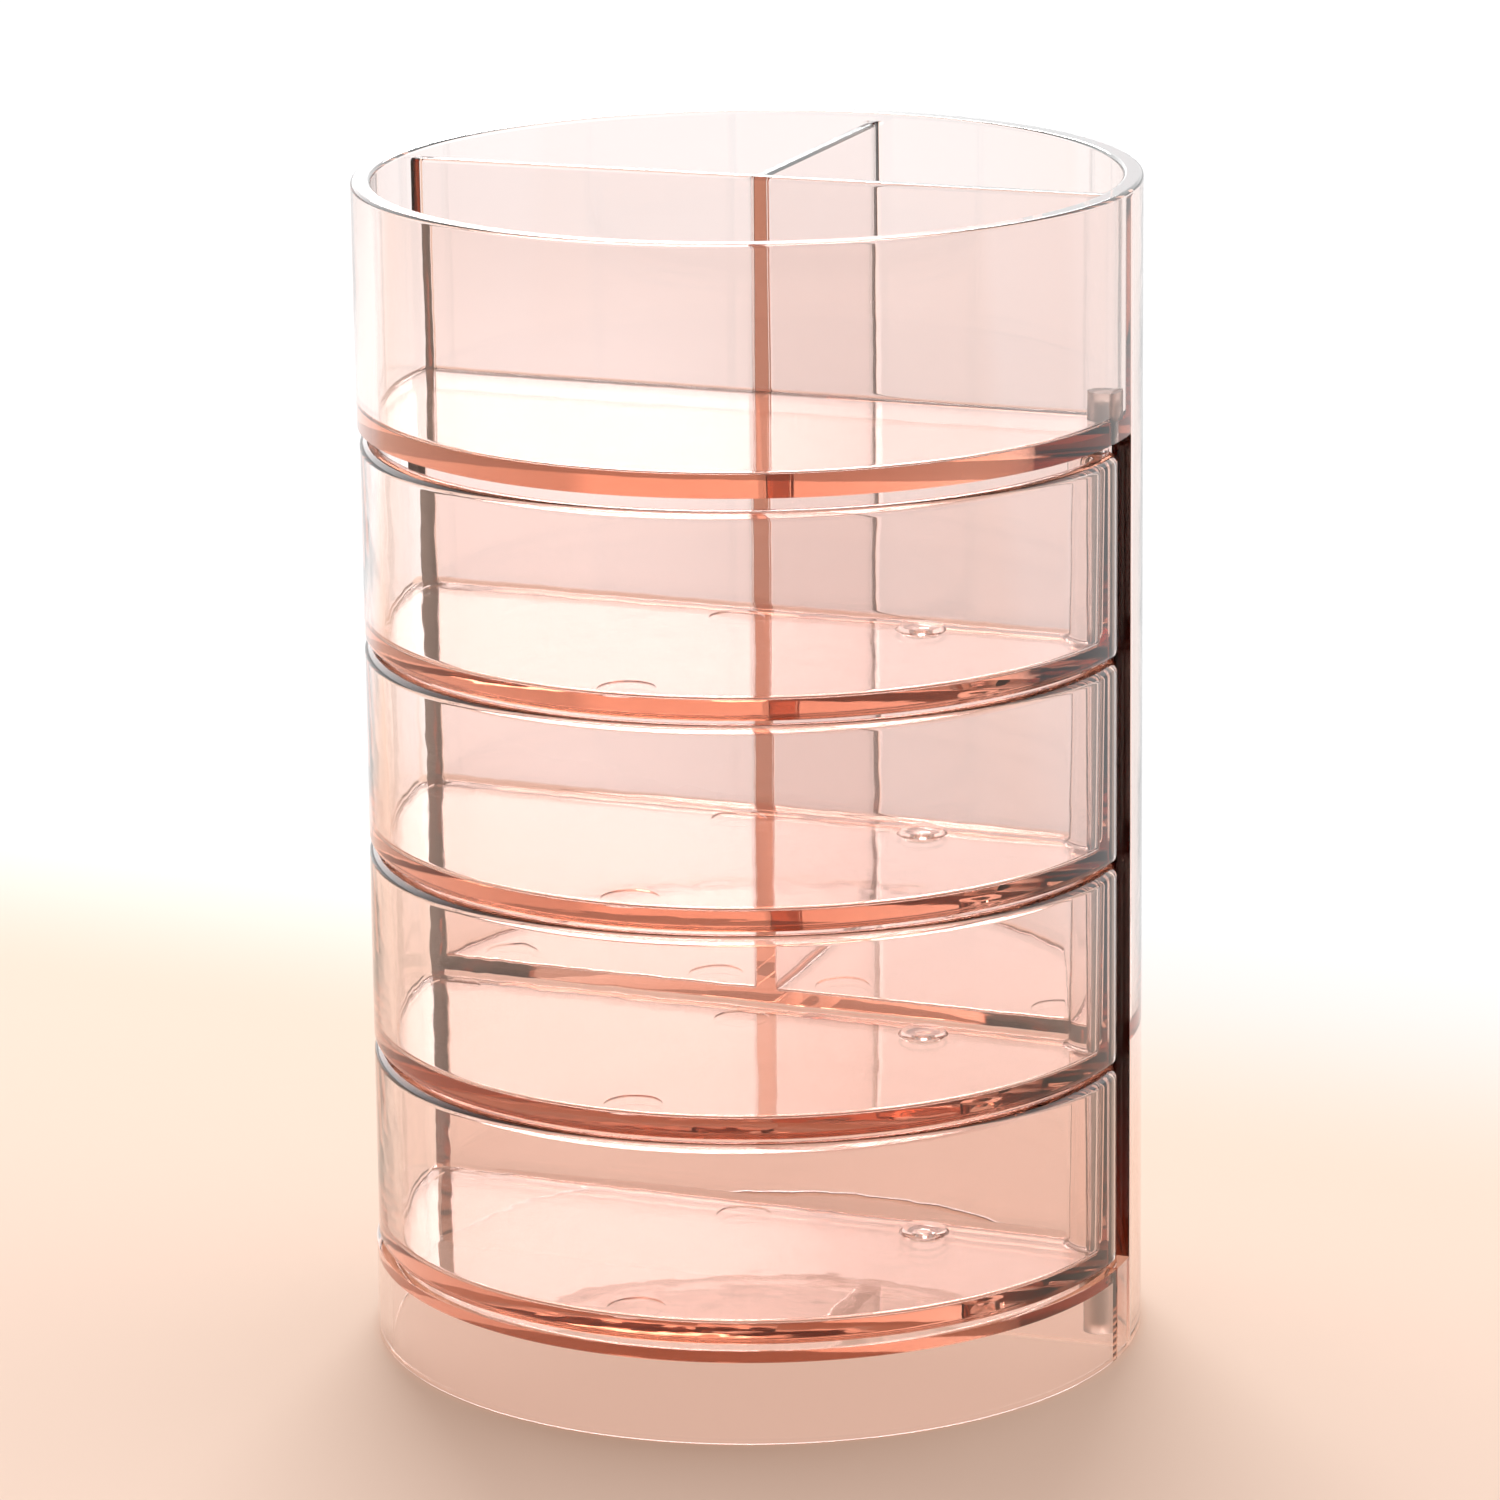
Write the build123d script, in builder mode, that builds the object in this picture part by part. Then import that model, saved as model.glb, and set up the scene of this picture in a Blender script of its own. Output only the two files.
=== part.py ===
from build123d import *
import math
import os

# Round desk pen holder moulded in clear plastic. Two pen wells stand behind a cross wall, a shallow
# well lies on top in front of it, and four half-round trays below that well swing out on one steel rod.
# Millimetres, +Z up, origin under the middle of the foot, trays towards -Y.

# Body
body_r = 48.0  # outer radius
body_h = 145.8  # foot to rim
body_wall = 2.5  # round wall, at the rim
rim_round = 0.5  # outer edge of the rim
front_y = 2.85  # front face of the cross wall and of the round wall's two ends
cross_wall = 2.0  # wall between the trays and the pens, at its top
mid_wall = 1.5  # wall between the two pen wells, at its top
wall_drop = 1.0  # the inner walls stop this far below the rim
well_floor = 2.4  # floor of the top well
pen_floor = 2.0  # floor under the pens
pen_floor_z = 41.2  # upper side of that floor
well_corner_r = 1.2  # upright corners of the wells, at their floors
well_round = 0.6  # where the wells' walls meet their floors
body_draft = 0.25  # degrees, all wells

# Foot, shared by the body's two tabs and the base
base_h = 11.9  # top of the base plate
base_plate = 1.8
foot_wall = 1.6  # the base's skirt and the body's tabs
foot_round = 0.4  # outer edge of the foot
seam_y = -2.0  # where the tabs meet the skirt
seam_gap = 0.25
base_fit = 0.1  # base plate to the body around it

# Trays
tray_count = 4
tray_inset = 0.3  # round front, inside the body's outline
tray_h = 25.1  # bottom to rim
tray_wall = 2.0  # at the rim
tray_floor = 2.2
tray_corner_r = 4.6  # outer corners beside the straight back
tray_back_gap = 0.5  # straight back to the cross wall
tray_rim_round = 1.2  # outer edge of the rim
tray_lip_round = 0.5  # inner edge of the rim
tray_foot_round = 1.0  # outer edge of the bottom
tray_floor_round = 0.8  # where the tray's walls meet its floor
tray_thicker = 0.4  # what the walls gain from rim to floor, for draft
head_gap = 1.7  # top tray's rim to the ring above it

# Pivot
rod_r = 1.0
rod_clear = 0.05  # running fit, each side
rod_end_gap = 0.3  # above the rod, in the upper boss
rod_chamfer = 0.2
knuckle_r = 3.2  # column round the rod, touching the tray's back and round front
knuckle_blend = 1.0  # where the column meets the tray's walls
boss_r = 1.75  # bosses and seat collars round the rod
boss_roof = 1.0  # plastic past the rod's end
upper_boss_h = 3.5  # above the top well's floor
lower_boss_h = 6.8  # below the base plate
seat_h = 0.4  # collar that the tray above turns on
seat_play = 0.1  # end play of each tray

# Gate mark in each tray's floor: a low pad above a recess that holds the gate's stub
gate_x = 23.4
gate_inset = 4.4  # from the inside of the tray's back
gate_pad_r = 3.1
gate_pad_h = 0.5
gate_pad_slope = 45.0  # degrees
gate_recess_r = 2.1
gate_recess = 1.2
gate_stub_r = 1.0
gate_stub_h = 0.7

# Round marks of the mould's ejector pins, on the trays' floors and on the pen floor
ejector_r = 3.45
ejector_mark = 0.1  # depth
tray_ejector_bow = 4.3  # middle of the mark, from the inside of the tray's round front
tray_ejector_back = 5.2  # from the inside of its back
tray_ejector_end = 5.2  # from the inside of its left end, level with the gate
pen_ejector_front = 4.7  # from the cross wall
pen_ejector_mid = 7.4  # from the middle wall
pen_ejector_end = 6.7  # from the round wall

overrun = 5.0  # cuts run past the faces they open

# Sizes and places that follow
inner_r = body_r - body_wall
inner_top_z = body_h - wall_drop
pens_y = front_y + cross_wall
tray_r = body_r - tray_inset
tray_back_y = front_y - tray_back_gap
tray_pitch = tray_h + seat_h + seat_play
tray_1_z = base_h + seat_h + seat_play
ring_z = tray_1_z + (tray_count - 1) * tray_pitch + tray_h + head_gap
well_floor_z = ring_z + well_floor
top_depth = inner_top_z - well_floor_z
top_draw = top_depth * math.tan(math.radians(body_draft))  # what draft takes off each side at the floor
pen_depth = inner_top_z - pen_floor_z
pen_draw = pen_depth * math.tan(math.radians(body_draft))
pivot_y = tray_back_y - knuckle_r
pivot_x = math.sqrt((tray_r - knuckle_r) ** 2 - pivot_y**2)
pivot = (pivot_x, pivot_y)
boss_web = inner_r - pivot_x  # the upper boss reaches into the round wall
hole_r = rod_r + rod_clear
hole_top_z = well_floor_z + upper_boss_h - boss_roof
hole_foot_z = base_h - base_plate - lower_boss_h + boss_roof
plate_z = base_h - base_plate
pen_hollow_z = pen_floor_z - pen_floor
gate = (gate_x, tray_back_y - tray_wall - gate_inset)
tray_floor_r = tray_r - tray_wall - tray_thicker
tray_floor_back_y = tray_back_y - tray_wall - tray_thicker
tray_marks = [
    (0, tray_ejector_bow - tray_floor_r),
    (0, tray_floor_back_y - tray_ejector_back),
    (-math.sqrt((tray_floor_r - tray_ejector_end) ** 2 - gate[1] ** 2), gate[1]),
]
pen_mark_y = pens_y + pen_draw + pen_ejector_front
pen_mark_near = mid_wall / 2 + pen_draw + pen_ejector_mid
pen_mark_far = math.sqrt((inner_r - pen_draw - pen_ejector_end) ** 2 - pen_mark_y**2)
pen_marks = [(side * x, pen_mark_y) for side in (-1, 1) for x in (pen_mark_near, pen_mark_far)]


def front_half(radius, back_y):
    """Fill the open sketch with a disc cut straight at its back."""
    Circle(radius)
    with Locations((0, back_y - radius)):
        Rectangle(2 * radius, 2 * radius, mode=Mode.INTERSECT)


def rear_half(radius, face_y):
    """Fill the open sketch with a disc cut straight at its front."""
    Circle(radius)
    with Locations((0, face_y + radius)):
        Rectangle(2 * radius, 2 * radius, mode=Mode.INTERSECT)


def tray_hollow(thicker):
    """Fill the open sketch with the inside of a tray, its walls and column that much thicker."""
    front_half(tray_r - tray_wall - thicker, tray_back_y - tray_wall - thicker)
    fillet(vertices(), tray_corner_r - tray_wall - thicker)
    with Locations(pivot):
        Circle(knuckle_r + thicker, mode=Mode.SUBTRACT)
    fillet(vertices().sort_by_distance(pivot)[:2], knuckle_blend)


def level_edges(piece, level):
    """Edges of a piece that lie flat at one height."""
    return piece.edges().filter_by(Plane.XY).filter_by_position(Axis.Z, level, level)


def outer_arcs(piece, level, radius):
    """The edges at one height that lie on a circle of that radius round the object's axis."""
    arcs = level_edges(piece, level).filter_by(GeomType.CIRCLE)
    return arcs.filter_by(lambda arc: math.isclose(arc.radius, radius))


os.makedirs("parts", exist_ok=True)

# Body: a round block, opened from above by the wells, from the front by the tray bay and from below
with BuildPart() as body:
    with BuildSketch():
        Circle(body_r)
    extrude(amount=body_h)
    # the mouth above the inner walls
    with BuildSketch(Plane.XY.offset(inner_top_z)):
        Circle(inner_r)
    extrude(amount=wall_drop, mode=Mode.SUBTRACT)
    fillet(outer_arcs(body, body_h, body_r), rim_round)
    # half-round top well in front of the cross wall
    with BuildSketch(Plane.XY.offset(well_floor_z)) as top_well:
        front_half(inner_r - top_draw, front_y - top_draw)
        fillet(top_well.vertices(), well_corner_r)
    extrude(amount=top_depth, taper=-body_draft, mode=Mode.SUBTRACT)
    fillet(level_edges(body, well_floor_z), well_round)
    # two pen wells behind it, with the middle wall between them
    with BuildSketch(Plane.XY.offset(pen_floor_z)) as pen_wells:
        rear_half(inner_r - pen_draw, pens_y + pen_draw)
        Rectangle(mid_wall + 2 * pen_draw, 2 * body_r, mode=Mode.SUBTRACT)
        fillet(pen_wells.vertices(), well_corner_r)
    extrude(amount=pen_depth, taper=-body_draft, mode=Mode.SUBTRACT)
    fillet(level_edges(body, pen_floor_z), well_round)
    with BuildSketch(Plane.XY.offset(pen_floor_z)):
        with Locations(*pen_marks):
            Circle(ejector_r)
    extrude(amount=-ejector_mark, mode=Mode.SUBTRACT)
    # tray bay, up to the ring
    with BuildSketch(Plane.XY.offset(base_h)):
        front_half(body_r + overrun, front_y)
    extrude(amount=ring_z - base_h, mode=Mode.SUBTRACT)
    # room for the base in front of the two foot tabs and between them
    with BuildSketch():
        front_half(body_r + overrun, seam_y)
    with BuildSketch():
        front_half(body_r - foot_wall, front_y)
    extrude(amount=base_h, mode=Mode.SUBTRACT)
    # open hollow under the pen floor
    with BuildSketch() as hollow:
        rear_half(inner_r, pens_y)
        fillet(hollow.vertices(), well_corner_r)
    extrude(amount=pen_hollow_z, taper=body_draft, mode=Mode.SUBTRACT)
    fillet(outer_arcs(body, 0, body_r), foot_round)
    # blind boss for the rod's upper end, joined to the wall in the corner of the top well
    with BuildSketch(Plane.XY.offset(ring_z)):
        with Locations((pivot_x + boss_web / 2, pivot_y)):
            SlotCenterToCenter(boss_web, 2 * boss_r)
    extrude(amount=well_floor + upper_boss_h)
    with BuildSketch(Plane.XY.offset(ring_z)):
        with Locations(pivot):
            Circle(hole_r)
    extrude(amount=hole_top_z - ring_z, mode=Mode.SUBTRACT)
body.part.label = "body"
export_step(body.part, "parts/body.step")

# Base: a plate with a skirt round its front, let in between the body's tabs
with BuildPart() as base:
    with BuildSketch():
        front_half(body_r, seam_y - seam_gap)
    extrude(amount=base_h)
    with BuildSketch(Plane.XY.offset(plate_z)):
        front_half(body_r - foot_wall - base_fit, front_y - base_fit)
    extrude(amount=base_plate)
    with BuildSketch():
        front_half(body_r - foot_wall, front_y)
    extrude(amount=plate_z, mode=Mode.SUBTRACT)
    fillet(outer_arcs(base, 0, body_r), foot_round)
    # boss for the rod's lower end, with the collar that the lowest tray turns on
    with BuildSketch(Plane.XY.offset(plate_z - lower_boss_h)):
        with Locations(pivot):
            Circle(boss_r)
    extrude(amount=lower_boss_h + base_plate + seat_h)
    with BuildSketch(Plane.XY.offset(hole_foot_z)):
        with Locations(pivot):
            Circle(hole_r)
    extrude(amount=base_h + seat_h - hole_foot_z, mode=Mode.SUBTRACT)
base.part.label = "base"
export_step(base.part, "parts/base.step")

# Trays, the lowest first
for number in range(tray_count):
    tray_z = tray_1_z + number * tray_pitch
    rim_z = tray_z + tray_h
    floor_z = tray_z + tray_floor
    with BuildPart() as tray:
        with BuildSketch(Plane.XY.offset(tray_z)) as outline:
            front_half(tray_r, tray_back_y)
            fillet(outline.vertices(), tray_corner_r)
        extrude(amount=tray_h)
        fillet(level_edges(tray, rim_z), tray_rim_round)
        fillet(level_edges(tray, tray_z), tray_foot_round)
        # the hollow, drawn round the knuckle's column
        with BuildSketch(Plane.XY.offset(rim_z)):
            tray_hollow(0)
        with BuildSketch(Plane.XY.offset(floor_z)):
            tray_hollow(tray_thicker)
        loft(ruled=True, mode=Mode.SUBTRACT)
        fillet(level_edges(tray, floor_z), tray_floor_round)
        fillet(tray.faces().sort_by(Axis.Z)[-1].inner_wires()[0].edges(), tray_lip_round)
        # seat collar and the rod's hole
        with BuildSketch(Plane.XY.offset(rim_z - tray_rim_round)):
            with Locations(pivot):
                Circle(boss_r)
        extrude(amount=tray_rim_round + seat_h)
        with BuildSketch(Plane.XY.offset(tray_z)):
            with Locations(pivot):
                Circle(hole_r)
        extrude(amount=tray_h + seat_h, mode=Mode.SUBTRACT)
        # ejector marks and gate mark
        with BuildSketch(Plane.XY.offset(floor_z)):
            with Locations(*tray_marks):
                Circle(ejector_r)
        extrude(amount=-ejector_mark, mode=Mode.SUBTRACT)
        with BuildSketch(Plane.XY.offset(floor_z)):
            with Locations(gate):
                Circle(gate_pad_r)
        extrude(amount=gate_pad_h, taper=gate_pad_slope)
        with BuildSketch(Plane.XY.offset(tray_z)):
            with Locations(gate):
                Circle(gate_recess_r)
        extrude(amount=gate_recess, mode=Mode.SUBTRACT)
        with BuildSketch(Plane.XY.offset(tray_z + gate_recess)):
            with Locations(gate):
                Circle(gate_stub_r)
        extrude(amount=-gate_stub_h)
    tray.part.label = f"tray_{number + 1}"
    export_step(tray.part, f"parts/tray_{number + 1}.step")

# Steel rod through the four knuckles, standing in the base's boss
with BuildPart() as pivot_rod:
    with BuildSketch(Plane.XY.offset(hole_foot_z)):
        with Locations(pivot):
            Circle(rod_r)
    extrude(amount=hole_top_z - rod_end_gap - hole_foot_z)
    chamfer(pivot_rod.edges().filter_by(GeomType.CIRCLE), rod_chamfer)
pivot_rod.part.label = "pivot_rod"
export_step(pivot_rod.part, "parts/pivot_rod.step")
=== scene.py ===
"""Looks of the round pen holder with four swing-out trays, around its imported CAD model."""
import math

import bpy
from mathutils import Matrix, Vector
from mathutils.geometry import delaunay_2d_cdt


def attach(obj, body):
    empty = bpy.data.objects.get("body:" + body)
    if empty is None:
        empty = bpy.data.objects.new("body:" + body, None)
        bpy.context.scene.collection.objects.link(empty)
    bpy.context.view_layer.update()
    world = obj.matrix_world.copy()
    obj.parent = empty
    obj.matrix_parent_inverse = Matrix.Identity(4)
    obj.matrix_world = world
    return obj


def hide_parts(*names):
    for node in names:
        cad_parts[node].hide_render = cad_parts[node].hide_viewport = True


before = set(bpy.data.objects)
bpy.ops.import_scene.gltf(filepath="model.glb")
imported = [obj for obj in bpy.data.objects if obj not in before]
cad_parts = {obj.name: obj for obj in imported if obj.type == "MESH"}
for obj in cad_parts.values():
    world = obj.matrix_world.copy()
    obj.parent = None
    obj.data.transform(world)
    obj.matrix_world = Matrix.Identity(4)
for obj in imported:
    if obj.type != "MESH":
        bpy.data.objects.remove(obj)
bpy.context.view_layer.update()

MM = 0.001

# Camera, in degrees and millimetres: a long lens, a little right of the trays' middle and above them
CAMERA_AZIMUTH = 20.89
CAMERA_ELEVATION = 14.58
CAMERA_ROLL = -0.67
CAMERA_DISTANCE = 869.1
CAMERA_AIM_Z = 70.0
CAMERA_SLIDE = (-0.47, 3.41)
CAMERA_LENS = 168.52
SENSOR = 36.0

# Body, in millimetres
BODY_R = 48.0
BODY_H = 145.8
INNER_R = 45.5
BODY_RIM_ROUND = 0.5  # of both its edges
BODY_FOOT_ROUND = 0.4
INNER_TOP_Z = 144.8  # the inner walls stop here, below the rim
FRONT_Y = 2.85  # front of the cross wall and of the round wall's two ends
PENS_Y = 4.85  # its back
MID_WALL = 1.5
WELL_FLOOR_Z = 118.4
RING_Z = 116.0
PEN_FLOOR_Z = 41.2
PEN_HOLLOW_Z = 39.2
WELL_CORNER_R = 0.4
WELL_ROUND = 0.6
WALL_TOP_ROUND = 0.5
DRAFT = math.tan(math.radians(0.25))
BASE_H = 11.9
TAB_R = 46.4  # inside of the two foot tabs
SEAM_Y = -2.0  # front of the tabs
UPPER_BOSS_H = 3.5
ROD_HOLE_TOP_Z = 120.9
PEN_MARKS = ((8.6, 10.0), (37.02, 10.0))  # of the ejector pins, in the right pen well

# Base, in millimetres
PLATE_Z = 10.1
PLATE_R = 46.3
PLATE_BACK_Y = 2.75
SKIRT_Y = -2.25  # the skirt's two ends
LOWER_BOSS_Z = 3.3
ROD_HOLE_FOOT_Z = 4.3

# Trays, in millimetres
TRAY_COUNT = 4
TRAY_1_Z = 12.4
TRAY_PITCH = 25.6
TRAY_R = 47.7
TRAY_BACK_Y = 2.35
TRAY_H = 25.1
TRAY_WALL = 2.0
TRAY_THICKER = 0.4  # what the walls gain from rim to floor
TRAY_FLOOR = 2.2
CORNER_R = 4.6
RIM_ROUND = 1.2
LIP_ROUND = 0.5
FOOT_ROUND = 1.0
FLOOR_ROUND = 0.8
PIVOT = (44.4919, -0.85)
KNUCKLE_R = 3.2
KNUCKLE_BLEND = 1.0
BOSS_R = 1.75
COLLAR_H = 0.4
HOLE_R = 1.05
GATE = (23.4, -4.05)
GATE_PAD = (3.1, 2.6, 0.5)  # radius at the floor, radius on top, height
GATE_RECESS = (2.1, 1.2)  # radius, depth
GATE_STUB = (1.0, 0.7)  # radius, length
MARKS = ((0.0, -41.0), (0.0, -5.25), (-39.9, -4.05))  # of the ejector pins
MARK_R = 3.45
MARK_DEPTH = 0.15

# How finely the mouldings are drawn
BOW_STEPS = 300
TURN_STEPS = 600
CORNER_STEPS = 20
ROUND_STEPS = 10
CIRCLE_STEPS = 64
EDGE_KEEP = 0.08  # a row this far from each rounding, in millimetres, keeps the face beside it plain
LIP_KEEP = 0.02  # the same at a tray's lip, where the rim is narrow
SAME_POINT = 1e-6  # points nearer than this are one, in millimetres

# Clear plastic and steel, in millimetres and sRGB colours
RESIN_IOR = 1.59
RESIN_TINT = "#DA9353"
RESIN_DENSITY = 50.0  # of the tint, for each metre of way through it
POLISHED_TONE = "#FFFDFE"
POLISHED_ROUGHNESS = 0.015
POLISHED_RIPPLE = 0.015
TRAY_RIPPLE = 0.04
ROUGH_RIPPLE = 0.03  # of the bosses and the round wall's ends
FROSTED_TONE = "#FFF0E6"
FROSTED_ROUGHNESS = 0.45
# painted shade: the round wall's two ends get a dark tone, standing for light that runs along the whole wall
END_FACE_PAINTED_SHADE_TONE = "#725E5D"
END_FACE_ROUGHNESS = 0.1
BROAD_WAVE = 14.0
FINE_WAVE = 4.0
FINE_SHARE = 0.25  # height of the fine waves beside the broad ones
STEEL_TONE = "#A8A29C"
STEEL_ROUGHNESS = (0.3, 0.5)
STEEL_LINE = 0.15  # width of the drawing lines
STEEL_STRETCH = (1.0, 1.0, 0.02)  # makes them long

# Studio, in metres and in levels where 1 is white
ACROSS_VIEW = (0.934, 0.357, 0.0)  # level, to the camera's right
ALONG_VIEW = (-0.357, 0.934, 0.0)  # level, away from the camera
ROOM_TURN = (-0.3, 0.4)  # Y of a direction, where the room's front turns into its back
ROOM_LEVELS = (0.45, 0.95)  # front, back
WINDOW_FOOT = (0.02, 0.12)  # Z of a direction, where the window starts
WINDOW_HEAD = (0.4, 0.75)  # where it ends
WINDOW_SIDE = (-0.01, 0.04)  # along ACROSS_VIEW, where it gets dimmer
WINDOW_LEVELS = (1.9, 1.0)  # left, right
FLOOR_SIZE = 6.0
FLOOR_TONE = "#FAE8DA"
FADE_WAY = (0.15, 0.99, 0.0)
FADE_EDGES = (0.08, 0.2)  # along FADE_WAY, where the floor turns into the backdrop
BACKDROP_SIDE = (-0.04, 0.03)  # along ACROSS_VIEW, where the backdrop gets dimmer
BACKDROP_LEVELS = (1.28, 1.03)  # left, right
FAR_EDGES = (0.5, 0.75)  # along ALONG_VIEW, where it gets even
FAR_LEVEL = 1.09
PAINTED_FOOT_LIGHT_EDGES = (0.049, 0.046)  # distance from the middle, from outside the foot to under it, where the floor gets painted light for the light that the clear foot lets through
LIFT_AND_PAINTED_FOOT_LIGHT_SHARES = (0.35, 0.7)  # even lift outside the foot, painted light under it
LIFT_AND_PAINTED_FOOT_LIGHT_LEVELS = (0.9, 1.25)
LIFT_AND_PAINTED_FOOT_LIGHT_TONES = ("#DA9A74", "#E8C0AC")
LAMP_SIZE = 0.8
LAMP_POWER = 22.0
LAMP_PLACE = (-0.5, 1.2, 1.0)
LAMP_AIM = (0.0, 0.0, 0.05)
BOUNCES = 40
REFLECTIONS = 16


def linear(colour):
    """Linear red, green and blue, with alpha 1, of an sRGB hex colour."""
    channels = [int(colour[i:i + 2], 16) / 255 for i in (1, 3, 5)]
    return [c / 12.92 if c <= 0.04045 else ((c + 0.055) / 1.055) ** 2.4 for c in channels] + [1.0]


def node(tree, kind, inputs=None, **settings):
    """Add a node to a tree; an input is a value, or the socket that it is linked from."""
    made = tree.nodes.new(kind)
    for name, value in settings.items():
        setattr(made, name, value)
    for name, value in (inputs or {}).items():
        if isinstance(value, bpy.types.NodeSocket):
            tree.links.new(value, made.inputs[name])
        else:
            made.inputs[name].default_value = value
    return made


def new_material(name):
    """An empty material and its node tree."""
    material = bpy.data.materials.new(name)
    material.use_nodes = True
    material.node_tree.nodes.clear()
    return material, material.node_tree


def clear_rose_polystyrene(name, ripple, roughness=POLISHED_ROUGHNESS, tone=POLISHED_TONE):
    """Clear tinted polystyrene, moulded against polished steel: thin walls read pale pink, and the long
    way through a floor or along a wall turns copper. Ripple is the height of the flow waves, in
    millimetres. A rougher face looks frosted, and a darker tone is painted shade, as on the round wall's
    ends, where it stands for light running along the whole wall."""
    material, tree = new_material(name)
    place = node(tree, "ShaderNodeTexCoord").outputs["Object"]
    broad = node(tree, "ShaderNodeTexNoise", {
        "Vector": place, "Scale": 1 / (BROAD_WAVE * MM), "Detail": 1.0})
    fine = node(tree, "ShaderNodeTexNoise", {
        "Vector": place, "Scale": 1 / (FINE_WAVE * MM), "Detail": 1.0})
    height = node(tree, "ShaderNodeMath", {
        0: fine.outputs["Fac"], 1: FINE_SHARE, 2: broad.outputs["Fac"]}, operation="MULTIPLY_ADD")
    bump = node(tree, "ShaderNodeBump", {
        "Height": height.outputs["Value"], "Strength": 1.0, "Distance": ripple * MM})
    surface = node(tree, "ShaderNodeBsdfPrincipled", {
        "Base Color": linear(tone), "Roughness": roughness, "IOR": RESIN_IOR, "Transmission Weight": 1.0,
        "Normal": bump.outputs["Normal"]})
    tint = node(tree, "ShaderNodeVolumeAbsorption", {
        "Color": linear(RESIN_TINT), "Density": RESIN_DENSITY})
    node(tree, "ShaderNodeOutputMaterial", {
        "Surface": surface.outputs["BSDF"], "Volume": tint.outputs["Volume"]})
    return material


def drawn_steel():
    """Drawn steel rod: grey, satin, with fine lines along its length."""
    material, tree = new_material("drawn_steel_rod")
    place = node(tree, "ShaderNodeTexCoord").outputs["Object"]
    along = node(tree, "ShaderNodeMapping", {"Vector": place, "Scale": STEEL_STRETCH})
    lines = node(tree, "ShaderNodeTexNoise", {
        "Vector": along.outputs["Vector"], "Scale": 1 / (STEEL_LINE * MM)})
    rough = node(tree, "ShaderNodeMapRange", {
        "Value": lines.outputs["Fac"], "To Min": STEEL_ROUGHNESS[0], "To Max": STEEL_ROUGHNESS[1]})
    surface = node(tree, "ShaderNodeBsdfPrincipled", {
        "Base Color": linear(STEEL_TONE), "Metallic": 1.0, "Roughness": rough.outputs["Result"]})
    node(tree, "ShaderNodeOutputMaterial", {"Surface": surface.outputs["BSDF"]})
    return material


def arc(middle, radius, start, end, steps):
    """Points along an arc, its two ends among them."""
    turns = [start + (end - start) * i / steps for i in range(steps + 1)]
    return [(middle[0] + radius * math.cos(turn), middle[1] + radius * math.sin(turn)) for turn in turns]


def circle(middle, radius, steps=CIRCLE_STEPS):
    """A closed loop of points round a circle."""
    return arc(middle, radius, 0, math.tau, steps)[:-1]


def mirrored(loop):
    """A loop on the other side of the middle, in the same sense of turning."""
    return [(-x, y) for x, y in reversed(loop)]


def straight(start, end):
    """Two points on a straight wall, just inside its ends, that keep it plain between rounded corners."""
    start, end = Vector(start), Vector(end)
    step = EDGE_KEEP * (end - start).normalized()
    return [tuple(start + step), tuple(end - step)]


def left_corner(radius, back_y, corner):
    """The rounded corner at the left end of a half-round, and the angle where the bow takes over from it."""
    low = back_y - corner
    out = math.sqrt((radius - corner) ** 2 - low**2)
    turn = math.atan2(low, out)
    return arc((-out, low), corner, math.pi / 2, math.pi - turn, CORNER_STEPS), turn


def half_round(radius, back_y, corner_r):
    """Outline of the front half of a disc: bow, right corner, straight back, left corner."""
    corner, turn = left_corner(radius, back_y, corner_r)
    bow = arc((0, 0), radius, math.pi - turn, math.tau + turn, BOW_STEPS)
    right = mirrored(corner)
    return bow + right[1:] + straight(right[-1], corner[0]) + corner[:-1]


def outside(inset):
    """Outline of a tray, moved in by inset."""
    return half_round(TRAY_R - inset, TRAY_BACK_Y - inset, CORNER_R - inset)


def inside(thicker, inset):
    """Outline of a tray's hollow, moved in by inset, with a bay round the knuckle's column at its right."""
    radius = TRAY_R - TRAY_WALL - thicker - inset
    back_y = TRAY_BACK_Y - TRAY_WALL - thicker - inset
    column = KNUCKLE_R + thicker + inset
    blend = KNUCKLE_BLEND - inset
    corner, turn = left_corner(radius, back_y, CORNER_R - TRAY_WALL - thicker - inset)
    pivot = Vector(PIVOT)
    # the blend between the bow and the column, then the one between the column and the straight back
    reach = pivot.length
    along = ((radius - blend) ** 2 - (column + blend) ** 2 + reach**2) / (2 * reach)
    aside = math.sqrt((radius - blend) ** 2 - along**2)
    way = pivot / reach
    low = along * way + aside * Vector((way.y, -way.x))
    rise = back_y - blend - pivot.y
    high = Vector((pivot.x - math.sqrt((column + blend) ** 2 - rise**2), back_y - blend))
    low_turn = math.atan2(low.y, low.x)
    low_meet = math.atan2(pivot.y - low.y, pivot.x - low.x)
    high_meet = math.atan2(pivot.y - high.y, pivot.x - high.x)
    bow = arc((0, 0), radius, math.pi - turn, math.tau + low_turn, BOW_STEPS)
    bay = (arc(low, blend, low_turn, low_meet, ROUND_STEPS)[1:]
           + arc(pivot, column, low_meet + math.pi, high_meet + math.pi, CORNER_STEPS)[1:]
           + arc(high, blend, high_meet, math.pi / 2, ROUND_STEPS)[1:])
    return bow + bay + straight(bay[-1], corner[0]) + corner[:-1]


def quarter():
    """Sines and cosines from 0 to 90 degrees."""
    turns = [math.pi / 2 * i / ROUND_STEPS for i in range(ROUND_STEPS + 1)]
    return [(math.sin(turn), math.cos(turn)) for turn in turns]


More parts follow.
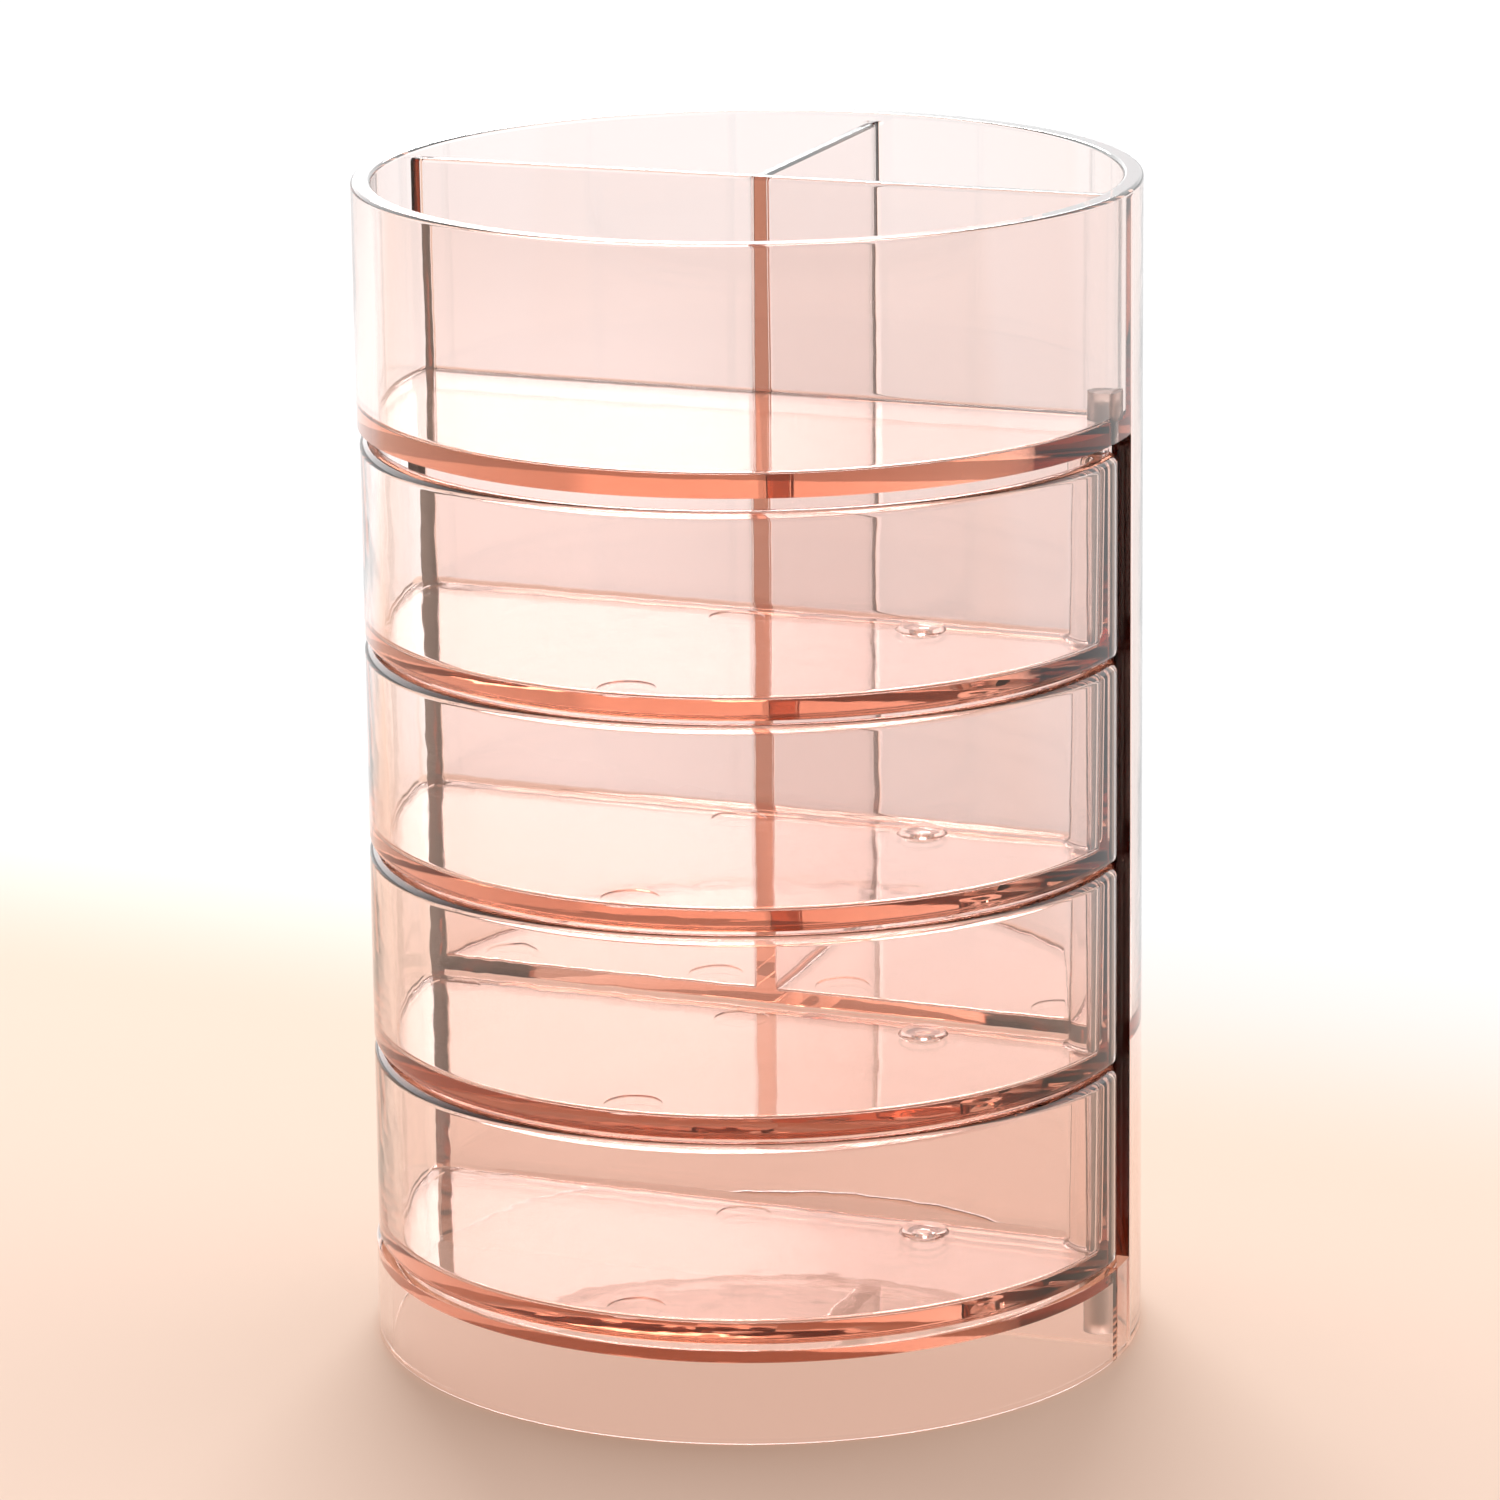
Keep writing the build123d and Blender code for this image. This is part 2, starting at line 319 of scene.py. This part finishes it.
def band(loops, closed=True):
    """Faces between like loops, each a list of points and a height. They face right of the way from
    loop to loop."""
    count = len(loops[0][0])
    points = [(x, y, z) for loop, z in loops for x, y in loop]
    faces = []
    for row in range(len(loops) - 1):
        for i in range(count if closed else count - 1):
            here, after = row * count + i, row * count + (i + 1) % count
            faces.append((here, after, after + count, here + count))
    return points, faces


def barrel(middle, *rows):
    """A band of circles round one middle, each a radius and a height."""
    return band([(circle(middle, radius), z) for radius, z in rows])


def within(point, loop):
    """Whether a point is inside a loop."""
    x, y = point
    crossed = False
    for (ax, ay), (bx, by) in zip(loop, loop[1:] + loop[:1]):
        if (ay > y) != (by > y) and x < ax + (y - ay) * (bx - ax) / (by - ay):
            crossed = not crossed
    return crossed


def flat(z, up, *loops):
    """A level face inside the first loop and outside the others."""
    points, edges = [], []
    for loop in loops:
        first = len(points)
        points += [Vector(point) for point in loop]
        edges += [(first + i, first + (i + 1) % len(loop)) for i in range(len(loop))]
    met, _, triangles, *_ = delaunay_2d_cdt(points, edges, [], 0, SAME_POINT)
    faces = []
    for triangle in triangles:
        middle = sum((met[i] for i in triangle), Vector((0, 0))) / 3
        if within(middle, loops[0]) and not any(within(middle, hole) for hole in loops[1:]):
            faces.append(tuple(triangle) if up else tuple(reversed(triangle)))
    return [(x, y, z) for x, y in met], faces


def upright(y, left_x, right_x, low_z, high_z):
    """An upright face towards -Y, or towards +Y if its sides are given the other way round."""
    corners = [(left_x, y, low_z), (right_x, y, low_z), (right_x, y, high_z), (left_x, y, high_z)]
    return corners, [(0, 1, 2, 3)]


def tray_patches():
    """The faces of one tray, standing on zero."""
    rim, floor = TRAY_H, TRAY_FLOOR
    keep = EDGE_KEEP

    def thicker(z):
        """What the walls have gained at a height."""
        return TRAY_THICKER * (rim - z) / (rim - floor)

    shell = [(outside(FOOT_ROUND + keep), 0.0)]
    shell += [(outside(FOOT_ROUND * (1 - s)), FOOT_ROUND * (1 - c)) for s, c in quarter()]
    shell += [(outside(0), FOOT_ROUND + keep), (outside(0), rim - RIM_ROUND - keep)]
    shell += [(outside(RIM_ROUND * (1 - c)), rim - RIM_ROUND * (1 - s)) for s, c in quarter()]
    shell += [(outside(RIM_ROUND + keep), rim)]
    hollow = [(inside(0, -LIP_ROUND - LIP_KEEP), rim)]
    for s, c in quarter():
        z = rim - LIP_ROUND * (1 - c)
        hollow.append((inside(thicker(z), LIP_ROUND * (s - 1)), z))
    for z in (rim - LIP_ROUND - keep, floor + FLOOR_ROUND + keep):
        hollow.append((inside(thicker(z), 0), z))
    for s, c in quarter():
        z = floor + FLOOR_ROUND * (1 - s)
        hollow.append((inside(thicker(z), FLOOR_ROUND * (1 - c)), z))
    hollow.append((inside(TRAY_THICKER, FLOOR_ROUND + keep), floor))
    pad_r, pad_top_r, pad_h = GATE_PAD
    recess_r, recess = GATE_RECESS
    stub_r, stub_h = GATE_STUB
    patches = [
        band(shell), band(hollow),
        flat(0.0, False, shell[0][0], circle(PIVOT, HOLE_R), circle(GATE, recess_r)),
        flat(rim, True, shell[-1][0], hollow[0][0], circle(PIVOT, BOSS_R)),
        flat(floor, True, hollow[-1][0], circle(GATE, pad_r), *(circle(mark, MARK_R) for mark in MARKS)),
        barrel(PIVOT, (BOSS_R, rim), (BOSS_R, rim + COLLAR_H)),
        barrel(PIVOT, (BOSS_R, rim + COLLAR_H), (HOLE_R, rim + COLLAR_H)),
        barrel(PIVOT, (HOLE_R, rim + COLLAR_H), (HOLE_R, 0.0)),
        barrel(GATE, (pad_r, floor), (pad_top_r, floor + pad_h)),
        flat(floor + pad_h, True, circle(GATE, pad_top_r)),
        barrel(GATE, (recess_r, recess), (recess_r, 0.0)),
        barrel(GATE, (stub_r, recess), (recess_r, recess)),
        barrel(GATE, (stub_r, recess - stub_h), (stub_r, recess)),
        flat(recess - stub_h, False, circle(GATE, stub_r)),
    ]
    for mark in MARKS:
        patches.append(barrel(mark, (MARK_R, floor), (MARK_R, floor - MARK_DEPTH)))
        patches.append(flat(floor - MARK_DEPTH, True, circle(mark, MARK_R)))
    return patches


def well_rows(outline, floor_z, top_z):
    """Rows of a drafted well from its top down to its floor, rounded on top of its walls and where they
    meet the floor. The outline takes what the well is narrower by than at its top, how far its corners
    are from their radius at the floor, and how far its straight walls stand back."""
    rows = []
    for s, c in quarter():
        z = top_z - WALL_TOP_ROUND * (1 - c)
        rows.append((outline((top_z - z) * DRAFT, (z - floor_z) * DRAFT, WALL_TOP_ROUND * (1 - s)), z))
    for z in (top_z - WALL_TOP_ROUND - EDGE_KEEP, floor_z + WELL_ROUND + EDGE_KEEP):
        rows.append((outline((top_z - z) * DRAFT, (z - floor_z) * DRAFT), z))
    for s, c in quarter():
        z = floor_z + WELL_ROUND * (1 - s)
        inset = WELL_ROUND * (1 - c)
        rows.append((outline((top_z - z) * DRAFT + inset, (z - floor_z) * DRAFT - inset), z))
    inset = WELL_ROUND + EDGE_KEEP
    rows.append((outline((top_z - floor_z) * DRAFT + inset, -inset), floor_z))
    return rows


def top_outline(narrower, corner, back=0.0):
    """Outline of the top well."""
    return half_round(INNER_R - narrower, FRONT_Y - narrower + back, WELL_CORNER_R + corner)


def pen_corners(narrower, corner, back):
    """The three corners of the right pen well, and the angles where its bow starts and ends."""
    radius = INNER_R - narrower
    r = WELL_CORNER_R + corner
    near_x = MID_WALL / 2 + narrower - back + r
    near_y = PENS_Y + narrower - back + r
    far_x = math.sqrt((radius - r) ** 2 - near_y**2)
    deep_y = math.sqrt((radius - r) ** 2 - near_x**2)
    start, end = math.atan2(near_y, far_x), math.atan2(deep_y, near_x)
    near_corner = arc((near_x, near_y), r, math.pi, 1.5 * math.pi, CORNER_STEPS)
    far_corner = arc((far_x, near_y), r, -math.pi / 2, start, CORNER_STEPS)
    deep_corner = arc((near_x, deep_y), r, end, math.pi, CORNER_STEPS)
    return near_corner, far_corner, deep_corner, start, end


def pen_outline(narrower, corner, back=0.0):
    """Outline of the right pen well."""
    near_corner, far_corner, deep_corner, start, end = pen_corners(narrower, corner, back)
    bow = arc((0, 0), INNER_R - narrower, start, end, BOW_STEPS // 2)
    return (near_corner + straight(near_corner[-1], far_corner[0]) + far_corner + bow[1:-1] + deep_corner
            + straight(deep_corner[-1], near_corner[0]))


def walls_outline():
    """Outline of the top of the inner walls, a T."""
    back = WALL_TOP_ROUND
    top_r = WELL_CORNER_R + (INNER_TOP_Z - WELL_FLOOR_Z) * DRAFT
    corner, turn = left_corner(INNER_R, FRONT_Y + back, top_r)
    opened = (INNER_TOP_Z - PEN_FLOOR_Z) * DRAFT
    near_corner, far_corner, deep_corner, start, end = pen_corners(0, opened, back)
    right = far_corner[::-1] + near_corner[::-1] + deep_corner[::-1]
    loop = corner[::-1] + [(-x, y) for x, y in corner]
    loop += arc((0, 0), INNER_R, turn, start, CORNER_STEPS)[1:-1] + right
    loop += arc((0, 0), INNER_R, end, math.pi - end, CORNER_STEPS)[1:-1] + mirrored(right)
    return loop + arc((0, 0), INNER_R, math.pi - start, math.pi - turn, CORNER_STEPS)[1:-1]


def foot_hollow(z):
    """Outline of the open hollow under the pen floor, at one height."""
    loop = half_round(INNER_R - z * DRAFT, -PENS_Y - z * DRAFT, WELL_CORNER_R)
    return [(x, -y) for x, y in reversed(loop)]


def span(radius, start_y, end_y):
    """Arc at the right end of a circle between two places along Y."""
    return arc((0, 0), radius, math.asin(start_y / radius), math.asin(end_y / radius), CORNER_STEPS)


def rear(radius, face_y):
    """Arc of a circle behind a face."""
    turn = math.asin(face_y / radius)
    return arc((0, 0), radius, turn, math.pi - turn, BOW_STEPS)


def front(radius, face_y):
    """Arc of a circle in front of a face."""
    return [(-x, -y) for x, y in rear(radius, -face_y)]


def foot_rows():
    """Radius and height along the outside of the foot, from below."""
    rows = [(BODY_R - BODY_FOOT_ROUND - EDGE_KEEP, 0.0)]
    rows += [(BODY_R - BODY_FOOT_ROUND * (1 - s), BODY_FOOT_ROUND * (1 - c)) for s, c in quarter()]
    return rows + [(BODY_R, BODY_FOOT_ROUND + EDGE_KEEP), (BODY_R, BASE_H)]


def base_patches():
    """The faces of the base, and those of its boss."""
    foot = foot_rows()
    collar_z = BASE_H + COLLAR_H
    edge = span(PLATE_R, SKIRT_Y, PLATE_BACK_Y)
    in_x, out_x = (math.sqrt(radius**2 - SKIRT_Y**2) for radius in (TAB_R, BODY_R))
    patches = [
        band([(front(radius, SKIRT_Y), z) for radius, z in foot], closed=False),
        band([(front(TAB_R, SKIRT_Y), z) for z in (PLATE_Z, 0.0)], closed=False),
        flat(0.0, False, front(foot[0][0], SKIRT_Y) + front(TAB_R, SKIRT_Y)[::-1]),
        flat(PLATE_Z, False, front(TAB_R, SKIRT_Y) + edge + mirrored(edge), circle(PIVOT, BOSS_R)),
        flat(BASE_H, True, front(BODY_R, SKIRT_Y) + edge + mirrored(edge), circle(PIVOT, BOSS_R)),
        band([(edge, z) for z in (PLATE_Z, BASE_H)], closed=False),
        band([(mirrored(edge), z) for z in (PLATE_Z, BASE_H)], closed=False),
        upright(PLATE_BACK_Y, edge[-1][0], -edge[-1][0], PLATE_Z, BASE_H),
        upright(SKIRT_Y, out_x, in_x, 0.0, BASE_H), upright(SKIRT_Y, -in_x, -out_x, 0.0, BASE_H),
        barrel(PIVOT, (BOSS_R, BASE_H), (BOSS_R, collar_z)),
        barrel(PIVOT, (BOSS_R, collar_z), (HOLE_R, collar_z)),
    ]
    boss = [barrel(PIVOT, (BOSS_R, LOWER_BOSS_Z), (BOSS_R, PLATE_Z)),
            flat(LOWER_BOSS_Z, False, circle(PIVOT, BOSS_R)),
            barrel(PIVOT, (HOLE_R, collar_z), (HOLE_R, ROD_HOLE_FOOT_Z)),
            flat(ROD_HOLE_FOOT_Z, True, circle(PIVOT, HOLE_R))]
    return patches, boss


def body_patches():
    """The faces of the body: all but the round wall's ends and the boss, the two ends, and the boss."""
    keep = EDGE_KEEP
    side = math.sqrt(BODY_R**2 - FRONT_Y**2)
    inner_side = math.sqrt(TAB_R**2 - FRONT_Y**2)
    rim = [(BODY_R, RING_Z), (BODY_R, BODY_H - BODY_RIM_ROUND - keep)]
    rim += [(BODY_R - BODY_RIM_ROUND * (1 - c), BODY_H - BODY_RIM_ROUND * (1 - s)) for s, c in quarter()]
    rim += [(BODY_R - BODY_RIM_ROUND - keep, BODY_H), (INNER_R + BODY_RIM_ROUND + keep, BODY_H)]
    rim += [(INNER_R + BODY_RIM_ROUND * (1 - s), BODY_H - BODY_RIM_ROUND * (1 - c)) for s, c in quarter()]
    rim += [(INNER_R, BODY_H - BODY_RIM_ROUND - keep), (INNER_R, INNER_TOP_Z)]
    foot = foot_rows()
    top_well = well_rows(top_outline, WELL_FLOOR_Z, INNER_TOP_Z)
    pen_well = well_rows(pen_outline, PEN_FLOOR_Z, INNER_TOP_Z)
    pen_wells = [pen_well, [(mirrored(loop), z) for loop, z in pen_well]]
    pen_marks = [PEN_MARKS, [(-x, y) for x, y in PEN_MARKS]]
    boss = (arc(PIVOT, BOSS_R, math.pi / 2, 1.5 * math.pi, CORNER_STEPS)
            + arc((INNER_R, PIVOT[1]), BOSS_R, -math.pi / 2, math.pi / 2, CORNER_STEPS))
    boss_z = WELL_FLOOR_Z + UPPER_BOSS_H
    tab_in, tab_out = span(TAB_R, SEAM_Y, FRONT_Y), span(BODY_R, SEAM_Y, FRONT_Y)
    tab = tab_out + tab_in[::-1]
    sole = rear(foot[0][0], SEAM_Y) + [(-x, y) for x, y in tab_in] + tab_in[::-1]
    patches = [
        band([(circle((0, 0), radius, TURN_STEPS), z) for radius, z in rim]),
        flat(INNER_TOP_Z, True, walls_outline()),
        band(top_well),
        flat(WELL_FLOOR_Z, True, top_well[-1][0], boss),
        band([(foot_hollow(z), z) for z in (PEN_HOLLOW_Z, 0.0)]),
        flat(PEN_HOLLOW_Z, False, foot_hollow(PEN_HOLLOW_Z)),
        band([(rear(BODY_R, FRONT_Y), z) for z in (BASE_H, RING_Z)], closed=False),
        band([(rear(radius, SEAM_Y), z) for radius, z in foot], closed=False),
        flat(0.0, False, sole, foot_hollow(0.0)),
        band([(tab_in, z) for z in (BASE_H, 0.0)], closed=False),
        band([(mirrored(tab_in), z) for z in (BASE_H, 0.0)], closed=False),
        flat(BASE_H, True, tab), flat(BASE_H, True, mirrored(tab)),
        upright(SEAM_Y, tab_in[0][0], tab_out[0][0], 0.0, BASE_H),
        upright(SEAM_Y, -tab_out[0][0], -tab_in[0][0], 0.0, BASE_H),
        upright(FRONT_Y, -inner_side, inner_side, 0.0, BASE_H),
        upright(FRONT_Y, -INNER_R, INNER_R, BASE_H, RING_Z),
        flat(RING_Z, False, front(BODY_R, FRONT_Y), circle(PIVOT, HOLE_R)),
    ]
    for well, marks in zip(pen_wells, pen_marks):
        patches.append(band(well))
        patches.append(flat(PEN_FLOOR_Z, True, well[-1][0], *(circle(mark, MARK_R) for mark in marks)))
        for mark in marks:
            patches.append(barrel(mark, (MARK_R, PEN_FLOOR_Z), (MARK_R, PEN_FLOOR_Z - MARK_DEPTH)))
            patches.append(flat(PEN_FLOOR_Z - MARK_DEPTH, True, circle(mark, MARK_R)))
    ends = [upright(FRONT_Y, INNER_R, side, BASE_H, RING_Z),
            upright(FRONT_Y, -side, -INNER_R, BASE_H, RING_Z)]
    boss_patches = [band([(boss, WELL_FLOOR_Z), (boss, boss_z)]), flat(boss_z, True, boss),
                    barrel(PIVOT, (HOLE_R, ROD_HOLE_TOP_Z), (HOLE_R, RING_Z)),
                    flat(ROD_HOLE_TOP_Z, False, circle(PIVOT, HOLE_R))]
    return patches, ends, boss_patches


def moulding(name, base_z, *groups):
    """One object from groups of patches, each with its material, raised to its height. Patches meet at
    sharp edges and are smooth inside."""
    points, faces, slots = [], [], []
    for slot, (_, patches) in enumerate(groups):
        for patch_points, patch_faces in patches:
            first = len(points)
            points += [(x * MM, y * MM, (z + base_z) * MM) for x, y, z in patch_points]
            faces += [tuple(first + i for i in face) for face in patch_faces]
            slots += [slot] * len(patch_faces)
    mesh = bpy.data.meshes.new(name)
    mesh.from_pydata(points, [], faces)
    mesh.polygons.foreach_set("material_index", slots)
    mesh.shade_smooth()
    for material, _ in groups:
        mesh.materials.append(material)
    piece = bpy.data.objects.new(name, mesh)
    bpy.context.scene.collection.objects.link(piece)
    return piece


def stand_for(piece, node_name, body_name):
    """Let a piece take the place of a CAD node of clear plastic."""
    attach(piece, body_name)
    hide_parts(node_name)


polished = clear_rose_polystyrene("clear_rose_polystyrene", POLISHED_RIPPLE)
rippled = clear_rose_polystyrene("clear_rose_polystyrene_rippled", TRAY_RIPPLE)
frosted = clear_rose_polystyrene(
    "clear_rose_polystyrene_frosted", ROUGH_RIPPLE, FROSTED_ROUGHNESS, FROSTED_TONE)
# the round wall's two ends get painted shade, a dark tone for the light that runs along the whole wall
painted_shade_ends = clear_rose_polystyrene("clear_rose_polystyrene_painted_end_shade", ROUGH_RIPPLE, END_FACE_ROUGHNESS, END_FACE_PAINTED_SHADE_TONE)
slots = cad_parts["pivot_rod"].data.materials
slots.clear()
slots.append(drawn_steel())
shell, ends, boss = body_patches()
body = moulding("body_clear", 0.0, (polished, shell), (painted_shade_ends, ends), (frosted, boss))
stand_for(body, "body", "holder")
plate, boss = base_patches()
base = moulding("base_clear", 0.0, (polished, plate), (frosted, boss))
stand_for(base, "base", "holder")
patches = tray_patches()
for number in range(1, TRAY_COUNT + 1):
    tray = moulding(f"tray_{number}_clear", TRAY_1_Z + (number - 1) * TRAY_PITCH, (rippled, patches))
    stand_for(tray, f"tray_{number}", f"tray_{number}")


def studio():
    """A room with a wide window behind the object, a pale floor that fades to a white backdrop, and one
    large soft lamp. The floor glows evenly a little, and under the foot it gets painted light, brighter and
    pinker, for the light that comes through the clear plastic."""
    world = bpy.data.worlds.new("studio")
    bpy.context.scene.world = world
    world.use_nodes = True
    tree = world.node_tree
    tree.nodes.clear()
    way = node(tree, "ShaderNodeTexCoord").outputs["Generated"]
    apart = node(tree, "ShaderNodeSeparateXYZ", {"Vector": way})
    behind = node(tree, "ShaderNodeMapRange", {
        "Value": apart.outputs["Y"], "From Min": ROOM_TURN[0], "From Max": ROOM_TURN[1]},
        interpolation_type="SMOOTHSTEP")
    room = node(tree, "ShaderNodeMapRange", {
        "Value": behind.outputs["Result"], "To Min": ROOM_LEVELS[0], "To Max": ROOM_LEVELS[1]})
    rise = node(tree, "ShaderNodeMapRange", {
        "Value": apart.outputs["Z"], "From Min": WINDOW_FOOT[0], "From Max": WINDOW_FOOT[1]},
        interpolation_type="SMOOTHSTEP")
    fall = node(tree, "ShaderNodeMapRange", {
        "Value": apart.outputs["Z"], "From Min": WINDOW_HEAD[0], "From Max": WINDOW_HEAD[1],
        "To Min": 1.0, "To Max": 0.0}, interpolation_type="SMOOTHSTEP")
    tall = node(tree, "ShaderNodeMath", {
        0: rise.outputs["Result"], 1: fall.outputs["Result"]}, operation="MULTIPLY")
    window = node(tree, "ShaderNodeMath", {
        0: tall.outputs["Value"], 1: behind.outputs["Result"]}, operation="MULTIPLY")
    aside = node(tree, "ShaderNodeVectorMath", {0: way, 1: ACROSS_VIEW}, operation="DOT_PRODUCT")
    strength = node(tree, "ShaderNodeMapRange", {
        "Value": aside.outputs["Value"], "From Min": WINDOW_SIDE[0], "From Max": WINDOW_SIDE[1],
        "To Min": WINDOW_LEVELS[0], "To Max": WINDOW_LEVELS[1]}, interpolation_type="SMOOTHSTEP")
    level = node(tree, "ShaderNodeMath", {
        0: window.outputs["Value"], 1: strength.outputs["Result"], 2: room.outputs["Result"]},
        operation="MULTIPLY_ADD")
    sky = node(tree, "ShaderNodeBackground", {
        "Color": linear("#FFFFFF"), "Strength": level.outputs["Value"]})
    node(tree, "ShaderNodeOutputWorld", {"Surface": sky.outputs["Background"]})

    bpy.ops.mesh.primitive_plane_add(size=FLOOR_SIZE)
    floor = bpy.context.object
    floor.name = "floor"
    material, tree = new_material("pale_floor")
    place = node(tree, "ShaderNodeTexCoord").outputs["Object"]
    away = node(tree, "ShaderNodeVectorMath", {0: place, 1: FADE_WAY}, operation="DOT_PRODUCT")
    fade = node(tree, "ShaderNodeMapRange", {
        "Value": away.outputs["Value"], "From Min": FADE_EDGES[0], "From Max": FADE_EDGES[1]},
        interpolation_type="SMOOTHSTEP")
    # under the foot the floor gets painted light, brighter and pinker, standing for the light that the clear
    # foot lets through
    middle = node(tree, "ShaderNodeVectorMath", {0: place}, operation="LENGTH")
    under = node(tree, "ShaderNodeMapRange", {
        "Value": middle.outputs["Value"], "From Min": PAINTED_FOOT_LIGHT_EDGES[0], "From Max": PAINTED_FOOT_LIGHT_EDGES[1]})
    share = node(tree, "ShaderNodeMapRange", {
        "Value": under.outputs["Result"], "To Min": LIFT_AND_PAINTED_FOOT_LIGHT_SHARES[0], "To Max": LIFT_AND_PAINTED_FOOT_LIGHT_SHARES[1]})
    lift_and_painted_foot_light_strength = node(tree, "ShaderNodeMapRange", {
        "Value": under.outputs["Result"], "To Min": LIFT_AND_PAINTED_FOOT_LIGHT_LEVELS[0], "To Max": LIFT_AND_PAINTED_FOOT_LIGHT_LEVELS[1]})
    lift_and_painted_foot_light_colour = node(tree, "ShaderNodeMix", {
        "Factor": under.outputs["Result"], "A": linear(LIFT_AND_PAINTED_FOOT_LIGHT_TONES[0]), "B": linear(LIFT_AND_PAINTED_FOOT_LIGHT_TONES[1])},
        data_type="RGBA")
    lift_and_painted_foot_light_emission = node(tree, "ShaderNodeEmission", {
        "Color": lift_and_painted_foot_light_colour.outputs["Result"], "Strength": lift_and_painted_foot_light_strength.outputs["Result"]})
    plain = node(tree, "ShaderNodeBsdfDiffuse", {"Color": linear(FLOOR_TONE)})
    lifted = node(tree, "ShaderNodeMixShader", {
        0: share.outputs["Result"], 1: plain.outputs["BSDF"], 2: lift_and_painted_foot_light_emission.outputs["Emission"]})
    across = node(tree, "ShaderNodeVectorMath", {0: place, 1: ACROSS_VIEW}, operation="DOT_PRODUCT")
    near = node(tree, "ShaderNodeMapRange", {
        "Value": across.outputs["Value"], "From Min": BACKDROP_SIDE[0], "From Max": BACKDROP_SIDE[1],
        "To Min": BACKDROP_LEVELS[0], "To Max": BACKDROP_LEVELS[1]}, interpolation_type="SMOOTHSTEP")
    depth = node(tree, "ShaderNodeVectorMath", {0: place, 1: ALONG_VIEW}, operation="DOT_PRODUCT")
    far = node(tree, "ShaderNodeMapRange", {
        "Value": depth.outputs["Value"], "From Min": FAR_EDGES[0], "From Max": FAR_EDGES[1]},
        interpolation_type="SMOOTHSTEP")
    backdrop = node(tree, "ShaderNodeMix", {
        "Factor": far.outputs["Result"], "A": near.outputs["Result"], "B": FAR_LEVEL})
    white = node(tree, "ShaderNodeEmission", {
        "Color": linear("#FFFFFF"), "Strength": backdrop.outputs["Result"]})
    mixed = node(tree, "ShaderNodeMixShader", {
        0: fade.outputs["Result"], 1: lifted.outputs["Shader"], 2: white.outputs["Emission"]})
    node(tree, "ShaderNodeOutputMaterial", {"Surface": mixed.outputs["Shader"]})
    floor.data.materials.append(material)

    lamp = bpy.data.lights.new("window", "AREA")
    lamp.shape = "SQUARE"
    lamp.size = LAMP_SIZE
    lamp.energy = LAMP_POWER
    window = bpy.data.objects.new("window", lamp)
    bpy.context.scene.collection.objects.link(window)
    window.location = LAMP_PLACE
    window.rotation_euler = (Vector(LAMP_AIM) - window.location).to_track_quat("-Z", "Y").to_euler()


def place_camera():
    """Camera at the photograph's angle."""
    azimuth, elevation, roll = (math.radians(a) for a in (CAMERA_AZIMUTH, CAMERA_ELEVATION, CAMERA_ROLL))
    back = Vector((math.sin(azimuth) * math.cos(elevation), -math.cos(azimuth) * math.cos(elevation),
                   math.sin(elevation)))
    level = Vector((math.cos(azimuth), math.sin(azimuth), 0))
    above = back.cross(level)
    right = math.cos(roll) * level + math.sin(roll) * above
    up = math.cos(roll) * above - math.sin(roll) * level
    lens = bpy.data.cameras.new("camera")
    lens.lens = CAMERA_LENS
    lens.sensor_width = SENSOR
    camera = bpy.data.objects.new("camera", lens)
    bpy.context.scene.collection.objects.link(camera)
    aim = Vector((0, 0, CAMERA_AIM_Z)) + CAMERA_SLIDE[0] * right + CAMERA_SLIDE[1] * up
    eye = aim + CAMERA_DISTANCE * back
    turn = Matrix((right, up, back)).transposed().to_4x4()
    camera.matrix_world = Matrix.Translation(eye * MM) @ turn
    bpy.context.scene.camera = camera


studio()
place_camera()
scene = bpy.context.scene
scene.view_settings.view_transform = "Standard"
scene.cycles.max_bounces = BOUNCES
scene.cycles.transmission_bounces = BOUNCES
scene.cycles.glossy_bounces = REFLECTIONS
scene.cycles.transparent_max_bounces = REFLECTIONS
